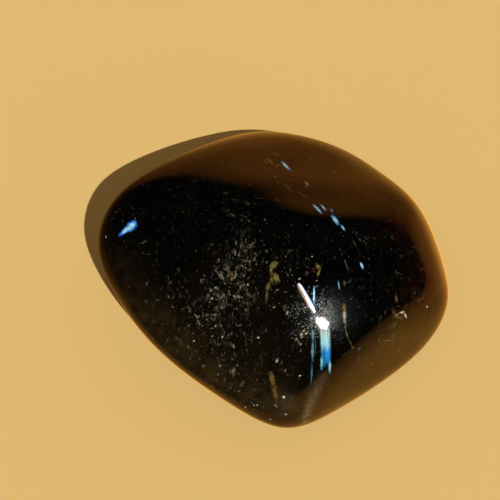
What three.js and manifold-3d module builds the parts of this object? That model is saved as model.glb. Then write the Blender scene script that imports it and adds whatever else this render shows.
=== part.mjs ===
// Astrophyllite specimen: one tumbled, polished stone.
// Millimetres, +Z up. It rests on its underside at z = 0, length along X, nose towards -Y.

import * as THREE from 'three';
import { mergeVertices } from 'three/addons/utils/BufferGeometryUtils.js';
import ManifoldModule from 'manifold-3d';

// ---- driving dimensions -------------------------------------------------------------

// How crisp the worn edges between facets are: higher is sharper, 2 would be a ball.
const EDGE_CRISPNESS = 10;

// Height of the heart of the stone, which the facet distances are measured from.
const HEART_HEIGHT = 6.0;

// Height at which the underside has been rubbed flat to make the rest facet.
const REST_LEVEL = 0.1;

// Side of the block that keeps everything above the rest facet.
const KEPT_BLOCK = 60;

// Splits along each edge of the starting twenty-sided ball: 20 * n * n triangles.
const EDGE_SPLITS = 21;

// The rubbed facets of the stone.
// azimuth: degrees anticlockwise from +X; tilt: degrees from straight up;
// distance: from the heart of the stone to the facet.
const FACETS = [
  { name: 'crown', azimuth: 93, tilt: 25, distance: 8.5 },
  { name: 'nose', azimuth: -86, tilt: 27, distance: 7.6 },
  { name: 'left face', azimuth: 229, tilt: 27, distance: 9.3 },
  { name: 'right face', azimuth: -15, tilt: 29, distance: 7.9 },
  { name: 'back slope', azimuth: 68, tilt: 37, distance: 6.8 },
  { name: 'back shoulder', azimuth: 58, tilt: 52, distance: 14.9 },
  { name: 'right end', azimuth: 13, tilt: 49, distance: 10.0 },
  { name: 'right side', azimuth: 14, tilt: 105, distance: 13.8 },
  { name: 'left end', azimuth: 159, tilt: 83, distance: 15.8 },
  { name: 'left front', azimuth: 204, tilt: 96, distance: 14.1 },
  { name: 'front left side', azimuth: 220, tilt: 130, distance: 8.4 },
  { name: 'front tip', azimuth: 273, tilt: 50, distance: 10.4 },
  { name: 'front right side', azimuth: -52, tilt: 75, distance: 10.2 },
  { name: 'front right underside', azimuth: -58, tilt: 102, distance: 15.8 },
  { name: 'back left side', azimuth: 125, tilt: 82, distance: 12.9 },
  { name: 'rear', azimuth: 106, tilt: 68, distance: 17.6 },
  { name: 'back right side', azimuth: 36, tilt: 114, distance: 13.5 },
  { name: 'base', azimuth: 0, tilt: 180, distance: HEART_HEIGHT },
  { name: 'base left', azimuth: 200, tilt: 150, distance: 8.4 },
  { name: 'base right', azimuth: 20, tilt: 150, distance: 9.8 },
  { name: 'base front', azimuth: 290, tilt: 148, distance: 9.9 },
  { name: 'base rear', azimuth: 100, tilt: 148, distance: 9.6 },
];

// Long, shallow swells left by the tumbling. Each runs along its own axis; height is a
// share of the distance from the heart, rate and start are in radians.
const SWELLS = [
  { axis: [1, 0.4, 0.2], rate: 5, height: 0.008, start: 0.7 },
  { axis: [-0.3, 1, 0.4], rate: 6, height: 0.007, start: 2.1 },
  { axis: [0.5, -0.6, 1], rate: 9, height: 0.004, start: 0.4 },
];

// ---- the rubbed outer shape ---------------------------------------------------------

const facetNormals = FACETS.map(({ azimuth, tilt }) => {
  const turn = THREE.MathUtils.degToRad(azimuth);
  const lean = THREE.MathUtils.degToRad(tilt);
  return new THREE.Vector3(
    Math.cos(turn) * Math.sin(lean),
    Math.sin(turn) * Math.sin(lean),
    Math.cos(lean),
  );
});

const swellAxes = SWELLS.map(({ axis }) => new THREE.Vector3(...axis).normalize());

// Distance from the heart to the skin along a direction. Each facet on its own is a
// flat; where two or more meet, the power sum rounds the edge between them.
function skinDistance(direction) {
  let sum = 0;
  for (let i = 0; i < FACETS.length; i += 1) {
    const facing = facetNormals[i].dot(direction) / FACETS[i].distance;
    if (facing > 0) sum += facing ** EDGE_CRISPNESS;
  }
  let swell = 1;
  SWELLS.forEach(({ rate, height, start }, i) => {
    swell += height * Math.sin(rate * swellAxes[i].dot(direction) + start);
  });
  return swell * sum ** (-1 / EDGE_CRISPNESS);
}

// A closed surface with its shared corners joined, holding positions only.
function joined(geometry) {
  geometry.deleteAttribute('normal');
  geometry.deleteAttribute('uv');
  return mergeVertices(geometry, 1e-5);
}

function pebbleGeometry() {
  const skin = joined(new THREE.IcosahedronGeometry(1, EDGE_SPLITS - 1));
  const position = skin.getAttribute('position');
  const point = new THREE.Vector3();
  for (let i = 0; i < position.count; i += 1) {
    point.fromBufferAttribute(position, i).normalize();
    point.multiplyScalar(skinDistance(point));
    position.setXYZ(i, point.x, point.y, point.z + HEART_HEIGHT);
  }
  return skin;
}

// ---- the rest facet, cut flat -------------------------------------------------------

const wasm = await ManifoldModule();
wasm.setup();

function toSolid(geometry) {
  const mesh = new wasm.Mesh({
    numProp: 3,
    vertProperties: new Float32Array(geometry.getAttribute('position').array),
    triVerts: new Uint32Array(geometry.getIndex().array),
  });
  return new wasm.Manifold(mesh);
}

function cutRestFacet(geometry) {
  const kept = joined(new THREE.BoxGeometry(KEPT_BLOCK, KEPT_BLOCK, KEPT_BLOCK));
  kept.translate(0, 0, REST_LEVEL + KEPT_BLOCK / 2);
  const cut = toSolid(geometry).intersect(toSolid(kept)).getMesh();
  const result = new THREE.BufferGeometry();
  result.setAttribute('position', new THREE.BufferAttribute(cut.vertProperties, 3));
  result.setIndex(new THREE.BufferAttribute(cut.triVerts, 1));
  return result;
}

// ---- set down: centred over the origin, rest facet at z = 0 -------------------------

function setDown(geometry) {
  geometry.computeBoundingBox();
  const box = geometry.boundingBox;
  const middle = box.getCenter(new THREE.Vector3());
  geometry.translate(-middle.x, -middle.y, -box.min.z);
  geometry.computeVertexNormals();
  return geometry;
}

const polishedStone = new THREE.MeshStandardMaterial({
  name: 'polished astrophyllite',
  color: new THREE.Color(0x1a130c),
  roughness: 0.1,
  metalness: 0,
});

const stone = new THREE.Mesh(setDown(cutRestFacet(pebbleGeometry())), polishedStone);
stone.name = 'tumbled_stone';

const specimen = new THREE.Group();
specimen.name = 'astrophyllite_specimen';
specimen.add(stone);

export default specimen;
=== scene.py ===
"""A tumbled pebble of black astrophyllite with blue flashes painted into its colour, lying on a plain tan
floor.
"""

import math

import bmesh
import bpy
import numpy as np
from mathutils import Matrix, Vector
from mathutils.bvhtree import BVHTree


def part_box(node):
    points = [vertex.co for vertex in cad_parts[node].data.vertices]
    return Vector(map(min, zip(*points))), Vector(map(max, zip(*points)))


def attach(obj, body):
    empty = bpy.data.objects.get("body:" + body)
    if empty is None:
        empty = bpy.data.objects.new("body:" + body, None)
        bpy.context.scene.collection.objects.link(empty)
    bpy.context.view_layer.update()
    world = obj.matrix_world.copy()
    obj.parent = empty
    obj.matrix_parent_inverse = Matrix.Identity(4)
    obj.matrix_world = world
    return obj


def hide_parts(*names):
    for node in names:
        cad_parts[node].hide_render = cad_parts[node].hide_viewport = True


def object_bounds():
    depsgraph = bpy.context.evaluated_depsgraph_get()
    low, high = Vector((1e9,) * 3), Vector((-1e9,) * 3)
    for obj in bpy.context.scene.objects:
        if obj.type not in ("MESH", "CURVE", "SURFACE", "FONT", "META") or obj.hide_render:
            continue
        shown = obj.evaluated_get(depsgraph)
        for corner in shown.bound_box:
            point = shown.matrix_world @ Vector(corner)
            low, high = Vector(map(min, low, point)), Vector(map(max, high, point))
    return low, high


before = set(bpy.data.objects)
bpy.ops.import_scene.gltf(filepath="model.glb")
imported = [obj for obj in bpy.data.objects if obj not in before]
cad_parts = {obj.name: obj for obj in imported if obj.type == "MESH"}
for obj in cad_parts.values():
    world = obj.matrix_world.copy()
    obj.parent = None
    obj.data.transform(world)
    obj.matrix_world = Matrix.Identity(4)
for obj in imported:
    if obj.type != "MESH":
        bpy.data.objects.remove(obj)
cad_low, cad_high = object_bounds()

MM = 0.001

# ---------------------------------------------------------------------------
# Driving values of the pebble, in millimetres and degrees
# ---------------------------------------------------------------------------
STONE_NODE = "tumbled_stone"
PEBBLE_NAME = "polished_pebble"
GRID_STEPS = 280  # quads along each side of the square that is folded round the pebble
UV_MARGIN = 0.002  # left free along the square's edges, as a share of its side
SEAM_GAP = 1e-6  # corners of the folded square that lie nearer than this are joined
FAR_OFF = 60  # further out than any point of the pebble, where rays on to its skin start

# Worn faces: heading (counter-clockwise from +X), tilt (from straight up), distance from the heart.
# The base faces were set one by one. The others were fitted to the real stone by least squares, in
# another script, and then rounded.
WORN_FACES = (
    (93, 25, 8.5),  # crown
    (-86, 27, 7.6),  # nose
    (229, 27, 9.3),  # left face
    (-15, 29, 7.9),  # right face
    (68, 37, 6.8),  # back slope
    (58, 52, 14.9),  # back shoulder
    (13, 49, 10.0),  # right end
    (14, 105, 13.8),  # right side
    (159, 83, 15.8),  # left end
    (204, 96, 14.1),  # left front
    (220, 130, 8.4),  # front left side
    (273, 50, 10.4),  # front tip
    (-52, 75, 10.2),  # front right side
    (-58, 102, 15.8),  # front right underside
    (125, 82, 12.9),  # back left side
    (106, 68, 17.6),  # rear
    (36, 114, 13.5),  # back right side
    (0, 180, 6.0),  # base
    (200, 150, 8.4),  # base left
    (20, 150, 9.8),  # base right
    (290, 148, 9.9),  # base front
    (100, 148, 9.6),  # base rear
)
# Slow swells of the surface: axis, waves per radian, height as a share of the radius, start
SWELLS = (
    ((1, 0.4, 0.2), 5, 0.008, 0.7),
    ((-0.3, 1, 0.4), 6, 0.007, 2.1),
    ((0.5, -0.6, 1), 9, 0.004, 0.4),
)
# The rest of the wear: how crisp the edges are, where the heart lies, where the base is ground
# flat, and the waves and dimples of the hand polish
WEAR = {
    "Rounding": 10.0,
    "Heart Height": 6.0,
    "Rest Level": 0.1,
    "Wave Height": 0.010,
    "Wave Spacing": 3.2,
    "Dimple Depth": 0.012,
    "Dimple Spacing": 3.4,
    "Dimple Radius": 0.42,
}
WEAR_SEED = 4


# ---------------------------------------------------------------------------
# Small vector helpers
# ---------------------------------------------------------------------------
def unit(vector):
    """The vector at length one."""
    return np.asarray(vector, float) / np.linalg.norm(vector)


def heading_tilt(heading, tilt):
    """The unit vector with this heading round +Z and this tilt from it, in degrees."""
    round_z, from_z = math.radians(heading), math.radians(tilt)
    level = math.sin(from_z)
    return np.array([level * math.cos(round_z), level * math.sin(round_z), math.cos(from_z)])


# ---------------------------------------------------------------------------
# Node helpers
# ---------------------------------------------------------------------------
def fill(tree, socket, value):
    """Links a socket to another, or gives it a plain value. None leaves it as it is."""
    if isinstance(value, bpy.types.NodeSocket):
        tree.links.new(value, socket)
    elif value is not None:
        socket.default_value = value


def put(tree, kind, *values, **named):
    """Adds a node. Plain values fill its sockets in order, capitalised names fill the socket of
    that name, and other names are the node's own settings."""
    node = tree.nodes.new(kind)
    for name, value in named.items():
        if not name[0].isupper():
            setattr(node, name, value)
    for place, value in enumerate(values):
        fill(tree, node.inputs[place], value)
    for name, value in named.items():
        if name[0].isupper():
            fill(tree, node.inputs[name.replace("_", " ")], value)
    return node


def math_node(tree, operation, *values):
    """The result of a Math node."""
    return put(tree, "ShaderNodeMath", *values, operation=operation).outputs[0]


def vector_node(tree, operation, *values):
    """The vector result of a Vector Math node."""
    return put(tree, "ShaderNodeVectorMath", *values, operation=operation).outputs["Vector"]


def scaled(tree, vector, factor):
    """The vector times a number."""
    node = put(tree, "ShaderNodeVectorMath", vector, operation="SCALE", Scale=factor)
    return node.outputs["Vector"]


def dot(tree, one, other):
    """The dot product of two vectors."""
    return put(tree, "ShaderNodeVectorMath", one, other, operation="DOT_PRODUCT").outputs["Value"]


def length(tree, vector):
    """The length of a vector."""
    return put(tree, "ShaderNodeVectorMath", vector, operation="LENGTH").outputs["Value"]


def ease(tree, value, start, end):
    """0 where value is at start, 1 where it is at end, and smooth between them."""
    node = put(tree, "ShaderNodeMapRange", value, start, end, interpolation_type="SMOOTHSTEP")
    return node.outputs["Result"]


def mix(tree, share, one, other):
    """One colour turning into the other as share goes from 0 to 1."""
    node = put(tree, "ShaderNodeMix", data_type="RGBA")
    for place, value in ((0, share), (6, one), (7, other)):
        fill(tree, node.inputs[place], value)
    return node.outputs[2]


def mix_number(tree, share, one, other):
    """One number turning into the other as share goes from 0 to 1."""
    return put(tree, "ShaderNodeMix", share, None, one, other, data_type="FLOAT").outputs[0]


def noise(tree, place, scale, detail=2.0, roughness=0.5):
    """A cloudy noise: its value and its colour."""
    node = put(
        tree, "ShaderNodeTexNoise", Vector=place, Scale=scale, Detail=detail, Roughness=roughness
    )
    return node.outputs["Fac"], node.outputs["Color"]


def colour(red, green, blue):
    """An opaque linear colour."""
    return red, green, blue, 1.0


def new_group(name, inputs, outputs, kind="ShaderNodeTree"):
    """An empty node tree with these sockets, given as (name, kind), and its two end nodes."""
    tree = bpy.data.node_groups.new(name, kind)
    for sockets, side in ((inputs, "INPUT"), (outputs, "OUTPUT")):
        for socket, socket_kind in sockets:
            tree.interface.new_socket(socket, in_out=side, socket_type="NodeSocket" + socket_kind)
    return tree, tree.nodes.new("NodeGroupInput").outputs, tree.nodes.new("NodeGroupOutput").inputs


def place_group(tree, group, **named):
    """Places a node group in a tree and returns its outputs."""
    node = tree.nodes.new("ShaderNodeGroup")
    node.node_tree = group
    for name, value in named.items():
        fill(tree, node.inputs[name.replace("_", " ")], value)
    return node.outputs


def bare_tree(owner):
    """The node tree of a material or a world, switched on and emptied."""
    owner.use_nodes = True
    owner.node_tree.nodes.clear()
    return owner.node_tree


def end_tree(tree, shader, kind="ShaderNodeOutputMaterial"):
    """Leads a shader to the tree's output."""
    out = tree.nodes.new(kind)
    tree.links.new(shader.outputs[0], out.inputs["Surface"])


def in_scene(name, data):
    """A new object of the scene."""
    made = bpy.data.objects.new(name, data)
    bpy.context.scene.collection.objects.link(made)
    return made


# ---------------------------------------------------------------------------
# The pebble's shape
# ---------------------------------------------------------------------------
def folded_square(steps):
    """Directions for a square grid folded over an octahedron, and the square's own coordinates."""
    line = np.linspace(-1, 1, steps + 1)
    across, along = (side.ravel() for side in np.meshgrid(line, line))
    height = 1 - abs(across) - abs(along)
    folded = np.maximum(-height, 0)
    corner = np.stack(
        [across - np.copysign(folded, across), along - np.copysign(folded, along), height], axis=1
    )
    return corner / np.linalg.norm(corner, axis=1)[:, None], np.stack([across, along], axis=1)


def folded_triangles(steps):
    """Triangles of the square grid, with each diagonal lying along the fold nearest to it."""
    row, column = np.divmod(np.arange(steps * steps), steps)
    first = row * (steps + 1) + column
    a, b, c, d = first, first + 1, first + steps + 2, first + steps + 1
    middle = (steps - 1) / 2
    rising = (row - middle) * (column - middle) < 0
    lower = np.where(rising[:, None], np.stack([a, b, c], 1), np.stack([a, b, d], 1))
    upper = np.where(rising[:, None], np.stack([a, c, d], 1), np.stack([b, c, d], 1))
    return np.concatenate([lower, upper])


def ball_mesh():
    """A closed ball of radius one, with a map that is the folded square laid flat."""
    directions, square = folded_square(GRID_STEPS)
    triangles = folded_triangles(GRID_STEPS)
    mesh = bpy.data.meshes.new("unworn_ball")
    mesh.from_pydata(directions.tolist(), [], triangles.tolist())
    flat = 0.5 + square * (0.5 - UV_MARGIN)
    layer = mesh.uv_layers.new(name="OFBake")
    layer.data.foreach_set("uv", flat[triangles.ravel()].astype(np.float32).ravel())
    skin = bmesh.new()
    skin.from_mesh(mesh)
    bmesh.ops.remove_doubles(skin, verts=skin.verts, dist=SEAM_GAP)
    bmesh.ops.recalc_face_normals(skin, faces=skin.faces)
    skin.to_mesh(mesh)
    skin.free()
    mesh.polygons.foreach_set("use_smooth", [True] * len(mesh.polygons))
    mesh.update()
    return mesh


def worn_reach(tree, direction, rounding):
    """Distance from the heart to the worn surface along each direction."""
    closeness = None
    for heading, tilt, distance in WORN_FACES:
        facing = dot(tree, direction, tuple(heading_tilt(heading, tilt) / distance))
        near = math_node(tree, "POWER", math_node(tree, "MAXIMUM", facing, 0.0), rounding)
        closeness = near if closeness is None else math_node(tree, "ADD", closeness, near)
    root = math_node(tree, "POWER", closeness, math_node(tree, "DIVIDE", -1.0, rounding))
    swell = 1.0
    for axis, rate, height, start in SWELLS:
        turn = math_node(tree, "MULTIPLY_ADD", dot(tree, direction, tuple(unit(axis))), rate, start)
        swell = math_node(tree, "MULTIPLY_ADD", math_node(tree, "SINE", turn), height, swell)
    return math_node(tree, "MULTIPLY", root, swell)


def polish_depth(tree, given, point):
    """How far the polish stands out from the worn surface: slow waves and a few shallow dimples."""
    waves = put(
        tree, "ShaderNodeTexNoise", noise_dimensions="4D", Vector=point, W=given["Seed"], Detail=1.0,
        Scale=math_node(tree, "DIVIDE", 1.0, given["Wave Spacing"]),
    ).outputs["Fac"]
    wave = math_node(tree, "MULTIPLY", math_node(tree, "SUBTRACT", waves, 0.5), given["Wave Height"])
    cell = put(
        tree, "ShaderNodeTexVoronoi", voronoi_dimensions="4D", Vector=point, W=given["Seed"],
        Scale=math_node(tree, "DIVIDE", 1.0, given["Dimple Spacing"]),
    ).outputs["Distance"]
    reach = math_node(tree, "DIVIDE", given["Dimple Radius"], given["Dimple Spacing"])
    dimple = math_node(tree, "MULTIPLY", ease(tree, cell, reach, 0.0), given["Dimple Depth"])
    return math_node(tree, "SUBTRACT", wave, dimple)


def worn_pebble_tree():
    """Geometry Nodes: turns a ball into the pebble, worn to its faces, polished and ground flat."""
    inputs = [("Geometry", "Geometry"), ("Seed", "Float"), ("Material", "Material")]
    inputs += [(name, "Float") for name in WEAR]
    tree, given, made = new_group("worn pebble", inputs, [("Geometry", "Geometry")], "GeometryNodeTree")
    position = tree.nodes.new("GeometryNodeInputPosition").outputs[0]
    direction = vector_node(tree, "NORMALIZE", position)
    reach = worn_reach(tree, direction, given["Rounding"])
    polish = polish_depth(tree, given, scaled(tree, direction, reach))
    out = scaled(tree, direction, math_node(tree, "ADD", reach, polish))
    parts = put(tree, "ShaderNodeSeparateXYZ", out).outputs
    height = math_node(tree, "ADD", parts["Z"], given["Heart Height"])
    height = math_node(tree, "MAXIMUM", height, given["Rest Level"])
    place = put(tree, "ShaderNodeCombineXYZ", parts["X"], parts["Y"], height).outputs[0]
    moved = put(tree, "GeometryNodeSetPosition", given["Geometry"], Position=scaled(tree, place, MM))
    real = put(tree, "GeometryNodeRealizeInstances", moved.outputs[0])
    dressed = put(tree, "GeometryNodeSetMaterial", real.outputs[0], Material=given["Material"])
    tree.links.new(dressed.outputs[0], made["Geometry"])
    return tree


def grown(name, base, tree, values):
    """A plain mesh: the base mesh with the Geometry Nodes tree worked on it, values its inputs."""
    holder = in_scene(name + "_base", base)
    modifier = holder.modifiers.new("shape", "NODES")
    modifier.node_group = tree
    sockets = {item.name: item.identifier for item in tree.interface.items_tree if item.in_out == "INPUT"}
    for socket, value in values.items():
        modifier[sockets[socket]] = value
    graph = bpy.context.evaluated_depsgraph_get()
    graph.update()
    mesh = bpy.data.meshes.new_from_object(
        holder.evaluated_get(graph), preserve_all_data_layers=True, depsgraph=graph
    )
    mesh.name = name
    holder.modifiers.remove(modifier)
    bpy.data.objects.remove(holder)
    return mesh


def mesh_points(mesh):
    """The mesh's points as an array of rows."""
    flat = np.empty(len(mesh.vertices) * 3, np.float32)
    mesh.vertices.foreach_get("co", flat)
    return flat.reshape(-1, 3).astype(float)


def pebble_mesh(material):
    """The pebble's skin, centred on the CAD solid and standing where it stands."""
    values = {"Seed": WEAR_SEED, "Material": material, **WEAR}
    mesh = grown(PEBBLE_NAME, ball_mesh(), worn_pebble_tree(), values)
    points = mesh_points(mesh)
    low, high = points.min(axis=0), points.max(axis=0)
    solid_low, solid_high = (np.array(corner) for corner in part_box(STONE_NODE))
    shift = (solid_low + solid_high - low - high) / 2
    shift[2] = solid_low[2] - low[2]
    mesh.vertices.foreach_set("co", (points + shift).astype(np.float32).ravel())
    mesh.update()
    return mesh


class Skin:
    """Finds places on the pebble's surface, all in millimetres."""

    def __init__(self, mesh):
        points = [vertex.co / MM for vertex in mesh.vertices]
        self.net = BVHTree.FromPolygons(points, [tuple(face.vertices) for face in mesh.polygons])

    def top(self, x, y):
        """The highest point over this place in plan."""
        return np.array(self.net.ray_cast(Vector((x, y, FAR_OFF)), Vector((0, 0, -1)))[0])

    def flank(self, heading, height):
        """The point at this heading, in degrees, and this height."""
        away = Vector(heading_tilt(heading, 90))
        return np.array(self.net.ray_cast(away * FAR_OFF + Vector((0, 0, height)), -away)[0])

    def between(self, start, end):
        """Middle, run and half length of a blade that lies in the surface between two points."""
        reach = end - start
        middle = self.net.find_nearest(Vector((start + end) / 2))[0]
        return tuple(middle), tuple(unit(reach)), float(np.linalg.norm(reach) / 2)


# ---------------------------------------------------------------------------
# Mineral marks, in millimetres. Blades on top give the two ends in plan, half width and
# fullness, which is how much of the stone under them they cover. Most ends were worked out by
# another script from places judged by eye, and corrected by eye.
# ---------------------------------------------------------------------------
# Blue, cyan and ice blades are mineral blades whose bright blue and white colour paints their schiller
# flash: a painted reflection that shows from every side.
BLUE_BLADES_PAINTED_FLASH = (
    ((-12.16, -0.40), (-11.00, 0.28), 0.22, 1.0),
    ((-11.62, -0.14), (-10.76, 0.40), 0.36, 1.0),
    ((4.27, 2.24), (4.36, 1.74), 0.09, 0.5),
    ((6.36, -0.50), (6.46, -0.80), 0.12, 0.10),
)
CYAN_BLADES_PAINTED_FLASH = (
    ((5.10, -2.50), (5.45, -3.50), 0.05, 0.2),
    ((2.66, -7.60), (2.68, -8.70), 0.10, 0.25),
    ((2.68, -8.50), (2.68, -9.70), 0.13, 0.38),
    ((2.66, -9.70), (2.56, -11.15), 0.09, 0.20),
    ((2.86, -8.20), (2.90, -9.40), 0.05, 0.16),
    ((6.15, -8.52), (6.48, -8.42), 0.13, 0.13),
    ((3.36, -9.30), (3.38, -10.20), 0.12, 0.8),
    ((3.98, -9.45), (4.02, -10.30), 0.12, 0.9),
)
ICE_BLADES_PAINTED_FLASH = (
    ((0.52, 8.05), (1.18, 6.78), 0.20, 0.95),
    ((2.86, 2.50), (3.50, 1.36), 0.17, 0.95),
    ((3.48, 2.60), (3.84, 1.84), 0.13, 0.9),
    ((4.28, 1.48), (4.74, 0.36), 0.24, 1.0),
    ((4.94, 0.48), (5.25, -0.14), 0.12, 0.95),
    ((6.36, -2.50), (6.62, -3.06), 0.13, 0.95),
    ((2.77, -4.70), (2.76, -6.18), 0.085, 1.0),
    ((4.60, -4.20), (4.73, -4.90), 0.055, 0.7),
)
OLIVE_BLADES = (
    ((-0.55, -3.72), (-0.02, -3.22), 0.23, 0.9),
    ((-0.52, -3.60), (-0.42, -4.10), 0.13, 0.85),
    ((-0.26, -4.04), (0.02, -4.66), 0.28, 0.85),
    ((-0.50, -4.10), (-0.36, -4.75), 0.14, 0.6),
    ((-0.56, -4.55), (-0.80, -5.20), 0.18, 0.6),
    ((-0.80, -5.10), (-0.84, -6.00), 0.10, 0.45),
    ((2.88, -3.25), (3.26, -3.62), 0.17, 0.95),
    ((3.28, -3.52), (3.05, -4.10), 0.11, 1.0),
    ((-1.10, 7.72), (-0.50, 7.48), 0.12, 0.8),
    ((-0.55, 8.15), (-0.16, 7.20), 0.13, 0.75),
    ((-0.30, 9.20), (0.40, 8.82), 0.12, 0.7),
    ((0.30, 7.60), (0.02, 6.90), 0.10, 0.6),
    ((2.30, 5.55), (2.72, 4.85), 0.20, 0.9),
    ((1.72, 3.85), (2.45, 3.28), 0.09, 0.6),
    ((0.60, 4.80), (1.34, 3.54), 0.08, 0.5),
    ((-0.10, 2.42), (0.22, 2.30), 0.12, 0.6),
    ((-4.20, 2.75), (-3.80, 2.60), 0.20, 0.25),
    ((5.82, -0.80), (6.10, -1.40), 0.09, 0.35),
    ((5.06, -4.15), (5.16, -4.55), 0.11, 0.7),
    ((9.15, -4.42), (9.35, -4.78), 0.15, 0.75),
    ((5.13, -6.80), (5.21, -7.75), 0.085, 0.7),
    ((5.19, -7.62), (5.46, -8.18), 0.075, 0.65),
    ((5.42, -8.10), (5.72, -8.50), 0.07, 0.55),
    ((8.10, -7.50), (9.15, -7.02), 0.08, 0.5),
    ((9.15, -7.04), (9.13, -6.68), 0.09, 0.5),
    ((7.32, -8.87), (7.54, -8.62), 0.11, 0.45),
    ((10.95, -6.08), (11.08, -6.02), 0.13, 0.5),
    ((-0.26, -12.36), (0.12, -12.60), 0.12, 0.8),
)
BRONZE_BLADES = (
    ((5.02, -5.74), (5.12, -6.50), 0.19, 0.5),
    ((-0.48, -10.40), (-0.28, -11.50), 0.24, 0.48),
    ((-0.26, -11.30), (-0.06, -12.20), 0.19, 0.50),
    ((5.70, -8.50), (5.84, -8.60), 0.12, 0.6),
    ((3.90, -5.60), (4.20, -6.40), 0.08, 0.2),
    ((9.15, -5.85), (9.85, -5.62), 0.12, 0.5),
)
RED_BLADES = (
    ((8.95, -5.46), (9.10, -5.70), 0.22, 0.5),
    ((-0.56, -4.02), (-0.34, -4.22), 0.12, 0.4),
    ((2.72, -3.48), (2.84, -3.86), 0.15, 0.22),
    ((1.66, -7.80), (1.66, -8.15), 0.08, 0.2),
)
PALE_BLADES = (
    ((5.07, -6.05), (5.13, -7.25), 0.15, 0.38),
    ((1.98, -7.76), (2.04, -7.82), 0.08, 0.95),
    ((2.16, -7.92), (2.22, -8.05), 0.10, 0.5),
    ((1.83, -7.95), (1.80, -8.30), 0.10, 0.3),
    ((1.75, -8.60), (1.76, -8.75), 0.10, 0.3),
    ((0.78, -6.50), (0.68, -6.85), 0.09, 0.35),
    ((-0.38, -6.32), (-0.12, -6.22), 0.07, 0.22),
    ((-0.12, -5.20), (0.12, -5.10), 0.06, 0.22),
    ((-1.46, -8.20), (-1.40, -8.32), 0.11, 0.6),
    ((-2.24, -4.68), (-2.22, -4.86), 0.09, 0.55),
    ((-4.18, -8.15), (-4.14, -8.28), 0.09, 0.45),
    ((-0.10, -9.90), (0.06, -9.60), 0.10, 0.35),
    ((2.36, 5.20), (2.60, 4.90), 0.12, 0.6),
    ((2.34, 4.70), (2.44, 4.62), 0.07, 0.6),
    ((-0.10, 5.62), (-0.04, 5.54), 0.08, 0.6),
    ((-0.46, -3.80), (-0.42, -3.88), 0.07, 0.45),
    ((9.50, -5.50), (9.95, -5.25), 0.10, 0.7),
    ((9.95, -5.28), (10.15, -5.55), 0.10, 0.75),
    ((9.04, -5.86), (9.52, -5.52), 0.05, 0.45),
    ((0.40, -11.90), (0.62, -12.02), 0.13, 0.9),
    ((0.62, -12.85), (0.80, -12.90), 0.10, 0.8),
    ((-0.56, -13.20), (-0.46, -13.24), 0.08, 0.5),
    ((-2.48, -12.56), (-2.36, -12.66), 0.08, 0.6),
    ((-1.58, -12.46), (-1.46, -12.54), 0.09, 0.5),
    ((1.62, -4.34), (1.70, -4.42), 0.10, 0.4),
    ((2.60, -2.70), (2.64, -2.78), 0.07, 0.9),
    ((2.95, -4.38), (2.99, -4.46), 0.07, 0.9),
    ((11.90, -4.16), (11.96, -4.24), 0.08, 1.0),
    ((1.72, -10.60), (1.74, -10.68), 0.09, 0.9),
    ((-6.35, -8.40), (-6.28, -8.50), 0.09, 0.8),
    ((-13.27, -0.05), (-13.22, -0.25), 0.08, 0.5),
)
# A patch of bare metal-bright mineral, which the highlight falls on, and its dim left edge
SILVER_BLADES = (
    ((3.10, -6.86), (3.88, -7.72), 0.47, 1.0),
    ((2.90, -6.82), (3.14, -7.40), 0.24, 0.10),
)
# Blades on the flanks: heading and height of the two ends, half width and fullness
# Blue blades on the flanks paint schiller flashes into the colour too: painted reflection.
FLANK_BLUE_PAINTED_FLASH = (
    ((40, 3.6), (36, 2.6), 0.22, 0.9),
    ((130, 7.0), (125, 5.8), 0.26, 0.9),
    ((133, 6.2), (130, 5.6), 0.14, 0.7),
    ((152, 8.2), (148, 7.4), 0.16, 0.7),
    ((70, 2.9), (67, 2.2), 0.18, 0.8),
    ((4, 3.8), (1, 3.0), 0.16, 0.7),
    ((196, 6.8), (192, 6.0), 0.16, 0.6),
    ((92, 3.8), (89, 3.2), 0.12, 0.6),
    ((242, 4.6), (238, 3.8), 0.14, 0.6),
)
FLANK_BRONZE = (
    ((114, 5.4), (111, 4.2), 0.22, 0.75),
    ((138, 5.0), (134, 3.8), 0.20, 0.7),
    ((28, 3.4), (25, 2.4), 0.22, 0.7),
    ((170, 6.4), (166, 5.2), 0.18, 0.6),
    ((58, 2.6), (55, 1.8), 0.20, 0.6),
    ((347, 2.4), (344, 1.8), 0.18, 0.6),
    ((226, 6.2), (223, 5.2), 0.16, 0.5),
)

# The silk band under the highlight: two ends in plan, half width, how raggedly its threads end
# Its colours paint the silk's chatoyant sheen, pale by the highlight and blue below: painted sheen over real
# fibres.
SILK_BAND = ((3.58, -7.45), (3.70, -9.85), 0.39, 0.7)

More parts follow.
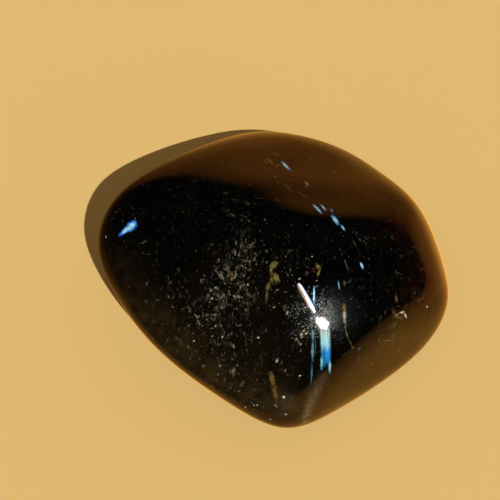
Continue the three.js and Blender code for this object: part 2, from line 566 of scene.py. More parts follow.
# Patches of the surface: a place in plan, or a heading and height on the flanks; then radius
# and share. Flecks and wisps crowd in the flecked ones, flakes in the glittering ones.
FLECKED_ON_TOP = (
    (-2.5, -1.2, 1.2, 0.65),
    (-2.6, -2.9, 1.5, 0.95),
    (-3.4, -4.2, 1.6, 1.0),
    (-4.3, -5.6, 1.6, 1.0),
    (-2.6, -5.6, 1.4, 0.85),
    (-5.2, -6.9, 1.5, 0.85),
    (-4.2, -8.0, 1.6, 0.95),
    (-2.6, -8.4, 1.2, 0.6),
    (-7.6, -5.4, 1.7, 0.5),
    (-7.9, -7.4, 1.6, 0.5),
    (-3.6, -10.6, 1.9, 0.6),
    (-1.4, -11.6, 1.5, 0.5),
    (-6.0, -9.4, 1.6, 0.45),
    (1.1, -6.2, 0.8, 0.6),
    (1.6, -8.0, 0.9, 0.7),
    (0.6, -10.4, 1.0, 0.4),
    (0.2, -3.0, 1.4, 0.3),
    (9.4, -5.4, 1.0, 0.45),
    (6.8, -4.4, 1.8, 0.2),
    (9.6, -0.6, 1.8, 0.18),
    (7.6, -1.2, 1.8, 0.14),
    (10.0, -3.0, 1.6, 0.22),
    (9.3, 3.4, 0.8, 0.35),
    (11.3, 0.2, 0.7, 0.45),
    (9.0, -6.4, 1.0, 0.50),
    (8.0, -7.6, 1.1, 0.42),
    (6.4, -9.0, 1.2, 0.36),
    (3.4, 3.2, 1.6, 0.15),
    (0.2, 7.6, 1.6, 0.35),
    (-3.2, 2.0, 1.3, 0.2),
)
FLECKED_FLANKS = (
    (60, 1.8, 1.8, 0.55),
    (105, 2.8, 2.2, 0.6),
    (145, 5.5, 2.6, 0.5),
    (185, 5.0, 2.4, 0.4),
    (20, 2.6, 2.0, 0.5),
    (350, 1.8, 1.8, 0.35),
    (240, 3.8, 2.4, 0.4),
)
GLITTERING_ON_TOP = (
    (4.4, -6.6, 1.5, 1.0),
    (3.2, -7.2, 0.9, 0.8),
    (1.9, -6.5, 1.0, 0.20),
    (1.8, -7.8, 0.8, 0.20),
    (1.0, -3.5, 0.8, 0.05),
)
# Brown smoke in the body. Along the lower left it also paints a dim brown reflection into the colour.
SMOKE_AND_PAINTED_REFLECTION_ON_TOP = (
    (-12.3, -2.8, 2.0, 0.35),
    (-11.3, -5.2, 2.0, 0.7),
    (-9.7, -7.1, 2.0, 0.9),
    (-7.4, -9.1, 1.9, 0.9),
    (-5.1, -10.9, 1.8, 0.9),
    (-2.8, -11.9, 1.7, 0.9),
    (-0.7, -12.2, 1.6, 0.9),
    (1.1, -12.2, 1.1, 0.9),
    (2.2, -12.0, 1.0, 0.8),
    (3.0, -11.3, 0.8, 0.5),
    (-1.0, 9.0, 2.0, 0.3),
    (3.5, 7.5, 2.2, 0.3),
    (9.2, -7.2, 1.6, 0.35),
    (6.6, -9.0, 1.5, 0.3),
)
# A pale reflection, painted into the colour along the ridge towards the tip.
PAINTED_RIDGE_REFLECTION_ON_TOP = (
    (3.55, -10.50, 0.44, 0.26),
    (3.38, -10.77, 0.44, 0.34),
    (3.20, -11.03, 0.44, 0.42),
    (3.03, -11.30, 0.44, 0.50),
    (2.87, -11.57, 0.44, 0.58),
    (2.72, -11.83, 0.43, 0.68),
    (2.58, -12.10, 0.41, 0.78),
    (2.45, -12.35, 0.39, 0.88),
    (2.33, -12.60, 0.37, 0.92),
    (2.25, -12.85, 0.36, 0.80),
    (0.50, -12.30, 0.80, 0.22),
)
RUSTY_ON_TOP = (
    (11.4, -3.4, 1.6, 0.6),
    (12.0, -0.8, 1.6, 0.6),
    (1.5, 8.5, 3.0, 0.5),
    (6.0, 6.0, 3.0, 0.6),
    (9.5, 3.0, 2.5, 0.6),
    (9.0, -7.6, 2.2, 0.4),
)
RUSTY_FLANKS = (
    (100, 3.5, 3.2, 0.6),
    (215, 4.0, 2.6, 0.5),
)


def patch_share(points, patches):
    """How strongly patches hold at each point, from 0 to 1. A patch is a centre, radius, share."""
    share = np.zeros(len(points))
    for centre, radius, most in patches:
        distance = np.linalg.norm(points - centre, axis=1)
        share = np.maximum(share, most * np.exp(-((distance / radius) ** 2)))
    return share


def paint_patches(mesh, skin):
    """Stores where flecks, glitter, brown smoke with its painted reflection, the painted reflection along
    the ridge and rust gather as point attributes.
    """
    points = mesh_points(mesh) / MM
    tables = {
        "crowding": (FLECKED_ON_TOP, FLECKED_FLANKS),
        "glitter": (GLITTERING_ON_TOP, ()),
        "smoke_and_painted_reflection": (SMOKE_AND_PAINTED_REFLECTION_ON_TOP, ()),
        "painted_ridge_reflection": (PAINTED_RIDGE_REFLECTION_ON_TOP, ()),
        "rust": (RUSTY_ON_TOP, RUSTY_FLANKS),
    }
    for name, (on_top, on_flanks) in tables.items():
        patches = [(skin.top(x, y), radius, share) for x, y, radius, share in on_top]
        patches += [(skin.flank(turn, height), radius, share) for turn, height, radius, share in on_flanks]
        layer = mesh.attributes.new(name, "FLOAT", "POINT")
        layer.data.foreach_set("value", patch_share(points, patches).astype(np.float32))


# ---------------------------------------------------------------------------
# Effects in the stone. Places are in millimetres.
# ---------------------------------------------------------------------------
FIBRE_ALONG = (0, -0.9, -0.44)
FIBRE_THROUGH = (0, -0.44, 0.9)
FIBRE_BEND = 0.6  # how far the fibres lean to the left behind the bend, per millimetre
FIBRE_JITTER = 0.16  # how far the fibres stray, which makes grains and edges ragged
FIBRE_STRAYS = 4.5  # how often they stray, to a millimetre
BLADE_EDGE = (1.12, 0.86)  # where a blade starts and where it is full, in half widths
BLADE_HEART = (0.92, 0.3)  # the same for its heart
GRAIN_HEART = 0.55  # how far out a grain is full, as a share of its radius
SILK_END = (1.1, 0.8)  # where the silk starts and where it is full, in half lengths
SILK_SIDE = (1.1, 0.75)  # the same in half widths
SILK_SIDE_FRAY = 0.35  # how ragged the silk's sides are, as a share of how ragged its ends are


def fibre_lie_group():
    """Turns a place into a place across, along and through the fibres, which bend at the back."""
    tree, given, made = new_group(
        "fibre lie", [("Place", "Vector"), ("Jitter", "Float")], [("Laid", "Vector")]
    )
    stray = vector_node(tree, "SUBTRACT", noise(tree, given["Place"], FIBRE_STRAYS)[1], (0.5, 0.5, 0.5))
    place = vector_node(tree, "ADD", given["Place"], scaled(tree, stray, given["Jitter"]))
    parts = put(tree, "ShaderNodeSeparateXYZ", place).outputs
    behind = math_node(tree, "MAXIMUM", parts["Y"], 0.0)
    across = math_node(tree, "MULTIPLY_ADD", behind, FIBRE_BEND, parts["X"])
    along = dot(tree, place, FIBRE_ALONG)
    through = dot(tree, place, FIBRE_THROUGH)
    laid = put(tree, "ShaderNodeCombineXYZ", across, along, through).outputs[0]
    tree.links.new(laid, made["Laid"])
    return tree


# What a blade or a band needs to be told of a place and of itself, and in which sockets
LIE_SOCKETS = [
    ("Place", "Vector"),
    ("Centre", "Vector"),
    ("Run", "Vector"),
    ("Half Length", "Float"),
    ("Half Width", "Float"),
]


def along_and_beside(tree, given):
    """Where a place is from a blade's centre: along it in half lengths, beside it in half widths."""
    offset = vector_node(tree, "SUBTRACT", given["Place"], given["Centre"])
    lengthways = dot(tree, offset, given["Run"])
    beside = vector_node(tree, "SUBTRACT", offset, scaled(tree, given["Run"], lengthways))
    way = math_node(tree, "DIVIDE", lengthways, given["Half Length"])
    return way, math_node(tree, "DIVIDE", length(tree, beside), given["Half Width"])


def blade_group():
    """One ragged blade of mineral lying in the surface. Rag is a noise about zero that frays its
    edge, and Core is where its heart shows."""
    inputs = LIE_SOCKETS + [("Rag", "Float"), ("Fullness", "Float")]
    tree, given, made = new_group("mineral blade", inputs, [("Mask", "Float"), ("Core", "Float")])
    way, side = along_and_beside(tree, given)
    out = length(tree, put(tree, "ShaderNodeCombineXYZ", way, side).outputs[0])
    frayed = math_node(tree, "ADD", out, given["Rag"])
    mask = math_node(tree, "MULTIPLY", ease(tree, frayed, *BLADE_EDGE), given["Fullness"])
    tree.links.new(mask, made["Mask"])
    tree.links.new(ease(tree, frayed, *BLADE_HEART), made["Core"])
    return tree


def grains_group():
    """Scattered grains, one in each cell of a random net. Share is how many of the cells hold
    one, and Lean is a random vector that stays the same all over a grain."""
    tree, given, made = new_group(
        "scattered grains",
        [("Laid", "Vector"), ("Spacing", "Vector"), ("Radius", "Float"), ("Share", "Float")],
        [("Mask", "Float"), ("Shade", "Float"), ("Lean", "Vector")],
    )
    cells = vector_node(tree, "DIVIDE", given["Laid"], given["Spacing"])
    net = put(tree, "ShaderNodeTexVoronoi", voronoi_dimensions="3D", Vector=cells, Scale=1.0)
    parts = put(tree, "ShaderNodeSeparateColor", net.outputs["Color"]).outputs
    size = math_node(tree, "MULTIPLY", given["Radius"], math_node(tree, "ADD", parts["Green"], 0.3))
    inner = math_node(tree, "MULTIPLY", size, GRAIN_HEART)
    round_grain = ease(tree, net.outputs["Distance"], size, inner)
    held = math_node(tree, "LESS_THAN", parts["Red"], given["Share"])
    tree.links.new(math_node(tree, "MULTIPLY", round_grain, held), made["Mask"])
    tree.links.new(parts["Blue"], made["Shade"])
    lean = vector_node(tree, "SUBTRACT", net.outputs["Color"], (0.5, 0.5, 0.5))
    tree.links.new(lean, made["Lean"])
    return tree


def silk_group():
    """A band of silky fibres lying side by side, each with its own end. Way goes from 0 at the
    upper end to 1 at the lower end."""
    inputs = LIE_SOCKETS + [("Threads", "Float"), ("Fray", "Float")]
    tree, given, made = new_group("silk band", inputs, [("Mask", "Float"), ("Way", "Float")])
    way, side = along_and_beside(tree, given)
    loose = math_node(tree, "MULTIPLY", math_node(tree, "SUBTRACT", given["Threads"], 0.5), given["Fray"])
    out = math_node(tree, "ADD", math_node(tree, "ABSOLUTE", way), loose)
    side = math_node(tree, "MULTIPLY_ADD", loose, SILK_SIDE_FRAY, side)
    mask = math_node(tree, "MULTIPLY", ease(tree, out, *SILK_END), ease(tree, side, *SILK_SIDE))
    tree.links.new(mask, made["Mask"])
    tree.links.new(math_node(tree, "MULTIPLY_ADD", way, 0.5, 0.5), made["Way"])
    return tree


# ---------------------------------------------------------------------------
# The stone's material
# ---------------------------------------------------------------------------
def laid_blades(skin, on_top, on_flanks):
    """Blades of one kind, laid on the surface: place, half width and fullness of each."""
    laid = [(skin.top(*start), skin.top(*end), *rest) for start, end, *rest in on_top]
    laid += [(skin.flank(*start), skin.flank(*end), *rest) for start, end, *rest in on_flanks]
    return [(skin.between(start, end), *rest) for start, end, *rest in laid]


def blade_family(tree, group, place, rag, blades):
    """The joint mask and core of several blades."""
    mask = core = None
    for (centre, run, half_length), half_width, fullness in blades:
        blade = place_group(
            tree, group, Place=place, Rag=rag, Centre=centre, Run=run,
            Half_Length=half_length, Half_Width=half_width, Fullness=fullness,
        )
        mask = blade["Mask"] if mask is None else math_node(tree, "MAXIMUM", mask, blade["Mask"])
        core = blade["Core"] if core is None else math_node(tree, "MAXIMUM", core, blade["Core"])
    return mask, core


def attribute(tree, name):
    """A number stored on the surface."""
    return put(tree, "ShaderNodeAttribute", attribute_name=name).outputs["Fac"]


BLACK_BODY = colour(0.0008, 0.0007, 0.0006)
CLOUDY_BODY = colour(0.0032, 0.0021, 0.0010)
# Brown smoke, which along the lower left also stands for a painted dim reflection
BROWN_SMOKE_AND_PAINTED_REFLECTION = colour(0.025, 0.0145, 0.0045)
RUST = colour(0.030, 0.0055, 0.0010)

# Sizes of wisps: how many to a millimetre, where their noise starts, how scarce they are away
# from the fleck patches, and their dim and bright colours
WISPS = (
    (1.4, 0.0, 0.650, (0.010, 0.011, 0.008), (0.115, 0.115, 0.085)),
    (2.1, 11.3, 0.655, (0.013, 0.014, 0.010), (0.21, 0.205, 0.16)),
    (3.2, 23.7, 0.672, (0.016, 0.016, 0.012), (0.32, 0.31, 0.25)),
)
WISP_BROWN = colour(0.085, 0.047, 0.014)
DIM_WISPS = 0.22  # share of their brightness that wisps and flecks keep away from the patches
WISP_STRETCH = (1.0, 0.45, 1.0)  # below one draws them out along the fibres
WISP_LINE = (0.068, 0.014)  # how near a wisp's contour it starts and is full

FELT = colour(0.009, 0.011, 0.008)
FELT_STRETCH = (1.0, 0.28, 1.0)
FELT_STREAKS = 6.5  # streaks to a millimetre
FELT_SCARCITY = 0.70  # how strong a streak's noise has to be to show

FLECK_SPACING = (0.16, 0.34, 0.16)
FLECK_RADIUS = 0.46  # grain sizes are in spacings
FLECKS_ANYWHERE = 0.003  # share of the cells that hold a grain away from the patches
FLECKS_CROWDED = 0.075  # how much that share grows in the fleck patches
FLECK_DIM, FLECK_BRIGHT = colour(0.015, 0.015, 0.011), colour(0.34, 0.33, 0.27)

PIN_SPACING = (1.5, 1.5, 1.5)
PIN_RADIUS = 0.05
PIN_SHARE = 0.35
PIN_COLOUR = colour(0.45, 0.41, 0.34)

FLAKE_SPACING = (0.066, 0.088, 0.066)
FLAKE_RADIUS = 1.2
FLAKES_ANYWHERE = 0.003
FLAKES_CROWDED = 0.95
FLAKE_DIM, FLAKE_BRIGHT = colour(0.0128, 0.0146, 0.0142), colour(0.0255, 0.0282, 0.0300)
FLAKE_TINTING = (0.0, 0.9, 1.2)  # how far each flake's colour strays in red, green and blue
FLAKE_LEAN = 0.045  # how far a flake leans out of the surface, as a slope
FLAKE_MIST = 0.75  # share of the finest flakes, too small to tell apart, in the glittering patches
MIST_COLOUR = colour(0.0145, 0.0165, 0.0175)

SILK_STRETCH = (1.0, 0.05, 0.3)
SILK_THREADS = 7.0  # threads to a millimetre
# Colours of the silk band's painted sheen, from its pale upper end by the highlight to blue below
SILK_PAINTED_SHEEN_PALE, SILK_PAINTED_SHEEN_LIGHT_BLUE = colour(0.30, 0.45, 0.46), colour(0.24, 0.58, 0.72)
SILK_PAINTED_SHEEN_BLUE = colour(0.02, 0.27, 0.80)
# Colour of the pale reflection painted along the ridge towards the tip
PAINTED_RIDGE_REFLECTION_COLOUR = colour(0.118, 0.100, 0.062)

SILVER_DIM, SILVER_BRIGHT = colour(0.03, 0.027, 0.022), colour(0.35, 0.34, 0.33)
STONE_ROUGHNESS, BLADE_ROUGHNESS, SILVER_ROUGHNESS = 0.33, 0.5, 0.36
BLADE_METAL, SILK_METAL, SILVER_METAL = 0.1, 0.3, 1.0

# Kinds of blade, laid one over another in this order: blades on top, blades on the flanks, how
# ragged their edges are, and the colours of edge and heart
BLADE_KINDS = (
    (OLIVE_BLADES, (), 0.9, colour(0.030, 0.025, 0.006), colour(0.185, 0.160, 0.052)),
    (BRONZE_BLADES, FLANK_BRONZE, 0.6, colour(0.070, 0.036, 0.006), colour(0.24, 0.155, 0.045)),
    (RED_BLADES, (), 0.9, colour(0.07, 0.012, 0.003), colour(0.20, 0.042, 0.008)),
    (PALE_BLADES, (), 0.8, colour(0.20, 0.18, 0.13), colour(0.80, 0.76, 0.66)),
    # The cyan, ice and blue kinds paint schiller flashes: their bright hearts are painted reflection.
    (CYAN_BLADES_PAINTED_FLASH, (), 0.6, colour(0.02, 0.17, 0.25), colour(0.32, 0.68, 0.80)),
    (ICE_BLADES_PAINTED_FLASH, (), 0.45, colour(0.010, 0.15, 0.40), colour(0.60, 0.94, 1.0)),
    (BLUE_BLADES_PAINTED_FLASH, FLANK_BLUE_PAINTED_FLASH, 0.4, colour(0.006, 0.13, 0.70), colour(0.45, 0.95, 1.0)),
)
SILVER_RAGGEDNESS = 0.35
RAGS, MOTTLES = 4.5, 7.0  # rags of a blade's edge and mottles of its heart, to a millimetre


def ground_colour(tree, laid):
    """Black body colour with faint clouds, brown smoke that along the lower left also paints a dim
    reflection, and rusty veins.
    """
    cloud = noise(tree, laid, 0.28, 3.0, 0.6)[0]
    ground = mix(tree, ease(tree, cloud, 0.50, 0.80), BLACK_BODY, CLOUDY_BODY)
    warm = ease(tree, noise(tree, laid, 0.9, 3.0, 0.6)[0], 0.2, 0.7)
    warm = math_node(tree, "MULTIPLY", attribute(tree, "smoke_and_painted_reflection"), warm)
    ground = mix(tree, warm, ground, BROWN_SMOKE_AND_PAINTED_REFLECTION)
    vein = ease(tree, noise(tree, laid, 1.8, 3.0, 0.65)[0], 0.40, 0.62)
    rust = math_node(tree, "MULTIPLY", attribute(tree, "rust"), vein)
    return mix(tree, rust, ground, RUST)


def felt_mask(tree, laid, crowded):
    """Where fine grey-green streaks fill the space between the flecks."""
    drawn = vector_node(tree, "MULTIPLY", laid, FELT_STRETCH)
    streak = noise(tree, drawn, FELT_STREAKS, 2.0, 0.6)[0]
    field = noise(tree, laid, 1.1, 2.0, 0.6)[0]
    need = math_node(tree, "MULTIPLY_ADD", crowded, -0.12, FELT_SCARCITY)
    need = math_node(tree, "MULTIPLY_ADD", field, -0.14, need)
    return ease(tree, math_node(tree, "SUBTRACT", streak, need), 0.0, 0.07)


def wisp_mask(tree, laid, crowded, scale, start, need):
    """Where short curled wisps lie: broken contour lines of a noise."""
    moved = vector_node(tree, "ADD", laid, (start, start, start))
    drawn = vector_node(tree, "MULTIPLY", moved, WISP_STRETCH)
    level = noise(tree, drawn, scale, 1.0)[0]
    away = math_node(tree, "ABSOLUTE", math_node(tree, "SUBTRACT", level, 0.5))
    broken = noise(tree, moved, 0.8 * scale, 2.0, 0.6)[0]
    need = math_node(tree, "MULTIPLY_ADD", crowded, -0.18, need)
    open_here = ease(tree, math_node(tree, "SUBTRACT", broken, need), 0.0, 0.05)
    return math_node(tree, "MULTIPLY", ease(tree, away, *WISP_LINE), open_here)


def painted_silk(tree, skin, place, laid, painted):
    """Lays the silk band, whose colours paint its sheen, and the pale reflection painted along the ridge
    over a colour. Also gives the silk's mask.
    """
    drawn = vector_node(tree, "MULTIPLY", laid, SILK_STRETCH)
    threads = noise(tree, drawn, SILK_THREADS, 2.0, 0.6)[0]
    threads = math_node(tree, "MULTIPLY_ADD", threads, 2.2, -0.6)
    start, end, half_width, fray = SILK_BAND
    centre, run, half_length = skin.between(skin.top(*start), skin.top(*end))
    band = place_group(
        tree, silk_group(), Place=place, Threads=threads, Centre=centre, Run=run,
        Half_Length=half_length, Half_Width=half_width, Fray=fray,
    )
    silk, way = band["Mask"], band["Way"]
    silk_sheen_colour = mix(tree, ease(tree, way, 0.2, 0.5), SILK_PAINTED_SHEEN_PALE, SILK_PAINTED_SHEEN_LIGHT_BLUE)
    silk_sheen_colour = mix(tree, ease(tree, way, 0.45, 0.7), silk_sheen_colour, SILK_PAINTED_SHEEN_BLUE)
    lit = ease(tree, threads, 0.2, 0.75)
    silk_share = math_node(tree, "MULTIPLY", silk, mix_number(tree, lit, 0.42, 1.0))
    painted_ridge_reflection = math_node(tree, "MULTIPLY", attribute(tree, "painted_ridge_reflection"), mix_number(tree, lit, 0.5, 1.0))
    painted = mix(tree, painted_ridge_reflection, painted, PAINTED_RIDGE_REFLECTION_COLOUR)
    return mix(tree, silk_share, painted, silk_sheen_colour), silk


def painted_blades(tree, skin, place, painted):
    """Lays every blade over a colour. Also gives where coloured and where silver blades lie."""
    rag_noise = noise(tree, place, RAGS, 3.0, 0.65)[0]
    rag = math_node(tree, "MULTIPLY_ADD", rag_noise, 2.6, -1.3)
    mottle = ease(tree, noise(tree, place, MOTTLES, 2.0, 0.6)[0], 0.38, 0.60)
    mottle = mix_number(tree, mottle, 0.4, 1.0)
    group = blade_group()
    anywhere = 0.0
    for on_top, on_flanks, raggedness, edge, heart in BLADE_KINDS:
        frayed = math_node(tree, "MULTIPLY", rag, raggedness)
        mask, core = blade_family(tree, group, place, frayed, laid_blades(skin, on_top, on_flanks))
        painted = mix(tree, mask, painted, mix(tree, math_node(tree, "MULTIPLY", core, mottle), edge, heart))
        anywhere = math_node(tree, "MAXIMUM", mask, anywhere)
    frayed = math_node(tree, "MULTIPLY", rag, SILVER_RAGGEDNESS)
    silver, core = blade_family(tree, group, place, frayed, laid_blades(skin, SILVER_BLADES, ()))
    bright = mix(tree, core, SILVER_DIM, SILVER_BRIGHT)
    return mix(tree, silver, painted, bright), anywhere, silver


def painted_flakes(tree, laid, grains, painted):
    """Lays fine bright flakes and the mist of the finest ones over a colour. Both are metallic
    and only shine near the highlight. Also gives how metallic they are and their own lean."""
    glitter = attribute(tree, "glitter")
    clumps = mix_number(tree, ease(tree, noise(tree, laid, 3.0)[0], 0.35, 0.62), 0.45, 1.0)
    share = math_node(tree, "MULTIPLY", glitter, clumps)
    share = math_node(tree, "MULTIPLY_ADD", share, FLAKES_CROWDED, FLAKES_ANYWHERE)
    flake = place_group(
        tree, grains, Laid=laid, Spacing=FLAKE_SPACING, Radius=FLAKE_RADIUS, Share=share
    )
    flake_colour = mix(tree, flake["Shade"], FLAKE_DIM, FLAKE_BRIGHT)
    tinted = vector_node(tree, "MULTIPLY_ADD", flake["Lean"], FLAKE_TINTING, (1.0, 1.0, 1.0))
    flake_colour = vector_node(tree, "MULTIPLY", flake_colour, tinted)
    mist = math_node(tree, "MULTIPLY", glitter, FLAKE_MIST)
    painted = mix(tree, mist, painted, MIST_COLOUR)
    painted = mix(tree, flake["Mask"], painted, flake_colour)
    metal = math_node(tree, "MAXIMUM", flake["Mask"], mist)
    return painted, metal, scaled(tree, scaled(tree, flake["Lean"], FLAKE_LEAN), flake["Mask"])


def painted_pale_mineral(tree, laid, grains, painted):
    """Lays brushed streaks, curled wisps in three sizes, flecks and pins over a colour. Also
    gives where wisps and flecks lie."""
    crowded = attribute(tree, "crowding")
    tint = ease(tree, noise(tree, laid, 1.3, 2.0, 0.6)[0], 0.42, 0.66)
    vivid = mix_number(tree, crowded, DIM_WISPS, 1.0)
    painted = mix(tree, felt_mask(tree, laid, crowded), painted, FELT)
    pale = 0.0
    for scale, start, need, dim, bright in WISPS:
        wisp = wisp_mask(tree, laid, crowded, scale, start, need)
        bared = ease(tree, noise(tree, laid, 1.1 * scale, 1.0)[0], 0.40, 0.68)
        bared = math_node(tree, "MULTIPLY", bared, vivid)
        wisp_colour = mix(tree, bared, colour(*dim), mix(tree, tint, colour(*bright), WISP_BROWN))
        painted = mix(tree, wisp, painted, wisp_colour)
        pale = math_node(tree, "MAXIMUM", wisp, pale)
    share = math_node(tree, "MULTIPLY_ADD", crowded, FLECKS_CROWDED, FLECKS_ANYWHERE)
    fleck = place_group(
        tree, grains, Laid=laid, Spacing=FLECK_SPACING, Radius=FLECK_RADIUS, Share=share
    )
    shine = math_node(tree, "MULTIPLY", math_node(tree, "POWER", fleck["Shade"], 2.0), vivid)
    painted = mix(tree, fleck["Mask"], painted, mix(tree, shine, FLECK_DIM, FLECK_BRIGHT))
    pin = place_group(
        tree, grains, Laid=laid, Spacing=PIN_SPACING, Radius=PIN_RADIUS, Share=PIN_SHARE
    )
    painted = mix(tree, pin["Mask"], painted, PIN_COLOUR)
    return painted, math_node(tree, "MAXIMUM", pale, fleck["Mask"])


def dress_stone(material, skin):
    """Black polished stone: a clear glossy skin over dark mineral with flakes, flecks and blades. Its colour
    also holds painted light: the blue flashes, the silk's sheen, a reflection along the ridge and a dim
    reflection on the lower left.
    """
    tree = bare_tree(material)
    here = put(tree, "ShaderNodeTexCoord").outputs["Object"]
    place = scaled(tree, here, 1 / MM)
    laid = place_group(tree, fibre_lie_group(), Place=place, Jitter=FIBRE_JITTER)["Laid"]
    grains = grains_group()

    painted = ground_colour(tree, laid)
    painted, metal, lean = painted_flakes(tree, laid, grains, painted)
    painted, pale = painted_pale_mineral(tree, laid, grains, painted)
    painted, silk = painted_silk(tree, skin, place, laid, painted)
    painted, blades, silver = painted_blades(tree, skin, place, painted)
    blades = math_node(tree, "MAXIMUM", blades, silk)

    metallic = math_node(tree, "MULTIPLY", metal, math_node(tree, "SUBTRACT", 1.0, pale))
    metallic = mix_number(tree, blades, metallic, BLADE_METAL)
    metallic = mix_number(tree, silk, metallic, SILK_METAL)
    metallic = mix_number(tree, silver, metallic, SILVER_METAL)
    roughness = mix_number(tree, blades, STONE_ROUGHNESS, BLADE_ROUGHNESS)
    roughness = mix_number(tree, silver, roughness, SILVER_ROUGHNESS)
    normal = put(tree, "ShaderNodeNewGeometry").outputs["Normal"]
    tilted = vector_node(tree, "NORMALIZE", vector_node(tree, "ADD", normal, lean))

    shader = put(
        tree, "ShaderNodeBsdfPrincipled", Base_Color=painted, Metallic=metallic, Roughness=roughness,
        Normal=tilted, Specular_IOR_Level=0.0, Coat_Weight=1.0, Coat_Roughness=0.02, Coat_IOR=1.5,
    )
    end_tree(tree, shader)


def pebble():
    """The pebble itself, in place of the CAD solid."""
    material = bpy.data.materials.new("polished_astrophyllite")
    mesh = pebble_mesh(material)
    skin = Skin(mesh)
    paint_patches(mesh, skin)
    dress_stone(material, skin)
    piece = in_scene(PEBBLE_NAME, mesh)
    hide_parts(STONE_NODE)
    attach(piece, "root")


# ---------------------------------------------------------------------------
# Floor, light and camera, in metres. Directions lead away from the pebble.
# ---------------------------------------------------------------------------
SUN_FROM = (0.212, -0.526, 0.824)
SUN_STRENGTH = 3.2
SUN_WIDTH = math.radians(0.5)
SUN_COLOUR = (1.0, 0.95, 0.88)

# A thin bright strip beside the sun, which only the polish mirrors: the directions of its two
# ends, its half width, and the colours of its middle and its two edges
STRIP_ENDS = ((0.2022, -0.5055, 0.8387), (0.2100, -0.5220, 0.8268))
STRIP_HALF_WIDTH = 0.033
STRIP_COLOUR = colour(34, 35, 40)
STRIP_WARM_EDGE = colour(10, 6, 3.6)
STRIP_BLUE_EDGE = colour(1.6, 3.4, 10)

# The rest of the room as the polish mirrors it. Glows have a heading, or a heading and tilt.
OVERHEAD = colour(0.006, 0.006, 0.006)
LOW_GLOW, LOW_GLOW_HEADING = colour(0.06, 0.025, 0.007), 200
SIDE_GLOW, SIDE_GLOW_AT = colour(0.10, 0.062, 0.022), (250, 70)
FAR_FLOOR = colour(0.05, 0.01875, 0.003)

AMBIENT = colour(0.22, 0.17, 0.12)  # the room as plain surfaces are lit by it
BACKDROP = colour(0.75, 0.54, 0.25)  # the room as the camera sees it

FLOOR_COLOUR = colour(0.712, 0.503, 0.195)
FLOOR_HALF = 2.5
FLOOR_GAP = 0.00001  # between the pebble's base and the floor
# The mirrored floor is a painted reflection: a colour that only the polish sees, darker and more orange than
# the floor, made brighter or darker by direction and distance to stand for uneven light in the room.
FLOOR_IN_GLOSS = colour(1.0, 0.375, 0.060)  # the floor as the dark polish mirrors it
FLOOR_PALE_GLOSS = colour(1.0, 0.48, 0.085)  # the same, from in front and from close behind
FLOOR_SHARES = (0.25, 0.42, 0.80)  # how much of it the left, the front and back, and the right give
FLOOR_UNIT = 0.045  # how far off the floor gives just these shares
FLOOR_FALL = 0.5  # power with which it gives less further off
FLOOR_GLARE = (0.034, 0.022)  # behind the pebble, how far off glare starts and where it is full
FLOOR_GLARE_GAIN = 0.45  # how much more the floor gives in full glare
FLOOR_MOTTLE = 40.0  # mottles to a metre in what the polish mirrors
# Where the mirrored floor is painted brighter or darker than that, so that the rims come out as on the real
# stone:
# heading, half angle, change at the middle
FLOOR_SECTORS = (
    (14, 26, 0.20),
    (51, 15, -0.25),
    (70, 16, -0.18),
    (145, 50, -0.70),
    (225, 50, 1.50),
    (332, 34, -0.34),
)

CAMERA_PLACE = (-0.002065, -0.04832, 0.107464)
CAMERA_TARGET = (-0.002065, 0.001216, 0.0059)
CAMERA_LENS = 100
CAMERA_CLIP = (0.01, 20)


def mirrored_floor(tree):
    """The floor's colour as the dark polish mirrors it: a painted reflection, brighter or darker by
    direction and distance.
    """
    here = put(tree, "ShaderNodeTexCoord").outputs["Object"]
    toward = vector_node(tree, "NORMALIZE", here)
    way = put(tree, "ShaderNodeSeparateXYZ", toward).outputs
    left, ahead, right = FLOOR_SHARES
    beside = mix_number(tree, ease(tree, way["X"], -1.0, 1.0), left, right)
    share = mix_number(tree, math_node(tree, "MULTIPLY", way["X"], way["X"]), ahead, beside)
    distance = length(tree, here)
    fall = math_node(tree, "POWER", math_node(tree, "DIVIDE", distance, FLOOR_UNIT), FLOOR_FALL)
    share = math_node(tree, "DIVIDE", share, fall)
    behind = ease(tree, way["Y"], -0.1, 0.3)
    glare = math_node(tree, "MULTIPLY", ease(tree, distance, *FLOOR_GLARE), behind)
    gain = math_node(tree, "MULTIPLY_ADD", glare, FLOOR_GLARE_GAIN, 1.0)
    share = math_node(tree, "MULTIPLY", share, gain)
    for heading, half_angle, change in FLOOR_SECTORS:
        facing = dot(tree, toward, tuple(heading_tilt(heading, 90)))
        inside = ease(tree, facing, math.cos(math.radians(half_angle)), 1.0)
        gain = math_node(tree, "MULTIPLY_ADD", inside, change, 1.0)
        share = math_node(tree, "MULTIPLY", share, gain)
    mottle = math_node(tree, "ADD", noise(tree, here, FLOOR_MOTTLE, 3.0, 0.6)[0], 0.5)
    share = math_node(tree, "MULTIPLY", share, mottle)
    pale = math_node(tree, "MAXIMUM", glare, ease(tree, way["Y"], 0.2, -0.5))
    return scaled(tree, mix(tree, pale, FLOOR_IN_GLOSS, FLOOR_PALE_GLOSS), share)


def dress_floor(material):
    """Plain to the eye. The polish mirrors another floor, a painted reflection: darker, more orange and
    unevenly bright.
    """
    tree = bare_tree(material)
    in_gloss = put(tree, "ShaderNodeLightPath").outputs["Is Glossy Ray"]
    shade = mix(tree, in_gloss, FLOOR_COLOUR, mirrored_floor(tree))
    end_tree(tree, put(tree, "ShaderNodeBsdfDiffuse", Color=shade))


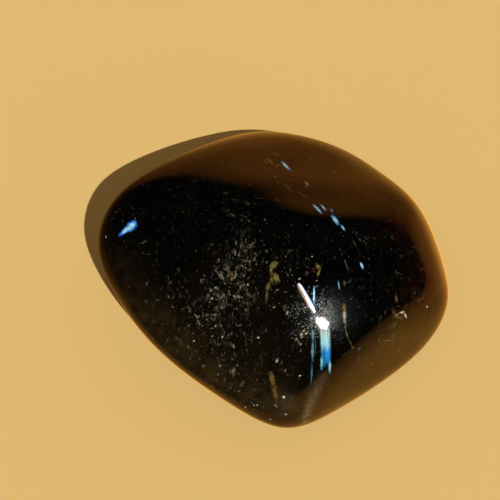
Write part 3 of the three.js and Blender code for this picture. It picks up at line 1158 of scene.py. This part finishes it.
def floor():
    """A wide plain floor at the level that the pebble rests on."""
    level = cad_low.z - FLOOR_GAP
    corners = [(x * FLOOR_HALF, y * FLOOR_HALF, level) for x, y in ((-1, -1), (1, -1), (1, 1), (-1, 1))]
    mesh = bpy.data.meshes.new("floor")
    mesh.from_pydata(corners, [], [(0, 1, 2, 3)])
    material = bpy.data.materials.new("plain_floor")
    dress_floor(material)
    mesh.materials.append(material)
    in_scene("floor", mesh)


def sun():
    """One lamp high at the front right, as narrow and sharp as sunlight."""
    lamp = bpy.data.lights.new("sun", "SUN")
    lamp.energy = SUN_STRENGTH
    lamp.angle = SUN_WIDTH
    lamp.color = SUN_COLOUR
    holder = in_scene("sun", lamp)
    holder.rotation_mode = "QUATERNION"
    holder.rotation_quaternion = Vector(SUN_FROM).to_track_quat("Z", "Y")


def with_strip(tree, direction, room):
    """The room's colour with the bright strip beside the sun."""
    first, last = (unit(end) for end in STRIP_ENDS)
    span = last - first
    out = vector_node(tree, "SUBTRACT", direction, tuple(first))
    along = dot(tree, out, tuple(span / (span @ span)))
    along = put(tree, "ShaderNodeClamp", along, 0.0, 1.0).outputs[0]
    off = length(tree, vector_node(tree, "SUBTRACT", out, scaled(tree, tuple(span), along)))
    off = math_node(tree, "DIVIDE", off, STRIP_HALF_WIDTH)
    side = dot(tree, out, tuple(unit(np.cross(first, span)) / STRIP_HALF_WIDTH))
    edge = mix(tree, ease(tree, side, -0.3, 0.3), STRIP_WARM_EDGE, STRIP_BLUE_EDGE)
    middle = math_node(tree, "MULTIPLY", ease(tree, side, -0.3, 0.0), ease(tree, side, 0.72, 0.5))
    strip = mix(tree, middle, edge, STRIP_COLOUR)
    return mix(tree, ease(tree, off, 1.0, 0.85), room, strip)


def mirrored_room(tree):
    """The room as the polish mirrors it: dim overhead, warm low on the left and at the front."""
    direction = put(tree, "ShaderNodeTexCoord").outputs["Generated"]
    rise = put(tree, "ShaderNodeSeparateXYZ", direction).outputs["Z"]
    low = ease(tree, rise, 0.35, 0.05)
    left = ease(tree, dot(tree, direction, tuple(heading_tilt(LOW_GLOW_HEADING, 90))), 0.2, 0.9)
    room = mix(tree, math_node(tree, "MULTIPLY", low, left), OVERHEAD, LOW_GLOW)
    lit_side = dot(tree, direction, tuple(heading_tilt(*SIDE_GLOW_AT)))
    room = mix(tree, ease(tree, lit_side, 0.55, 1.0), room, SIDE_GLOW)
    room = mix(tree, ease(tree, rise, 0.0, 0.05), FAR_FLOOR, room)
    return with_strip(tree, direction, room)


def surroundings():
    """A tan backdrop to the eye, a weak even light, and a dim warm room for the polish."""
    world = bpy.data.worlds.new("surroundings")
    tree = bare_tree(world)
    light_path = put(tree, "ShaderNodeLightPath").outputs
    seen = mix(tree, light_path["Is Glossy Ray"], AMBIENT, mirrored_room(tree))
    seen = mix(tree, light_path["Is Camera Ray"], seen, BACKDROP)
    shader = put(tree, "ShaderNodeBackground", Color=seen, Strength=1.0)
    end_tree(tree, shader, "ShaderNodeOutputWorld")
    bpy.context.scene.world = world


def camera():
    """Looks down on the pebble from the front."""
    lens = bpy.data.cameras.new("camera")
    lens.lens = CAMERA_LENS
    lens.clip_start, lens.clip_end = CAMERA_CLIP
    holder = in_scene("camera", lens)
    holder.location = CAMERA_PLACE
    holder.rotation_mode = "QUATERNION"
    toward = Vector(CAMERA_TARGET) - Vector(CAMERA_PLACE)
    holder.rotation_quaternion = toward.to_track_quat("-Z", "Y")
    bpy.context.scene.camera = holder


camera()
sun()
surroundings()
floor()
bpy.context.scene.view_settings.view_transform = "Standard"
pebble()
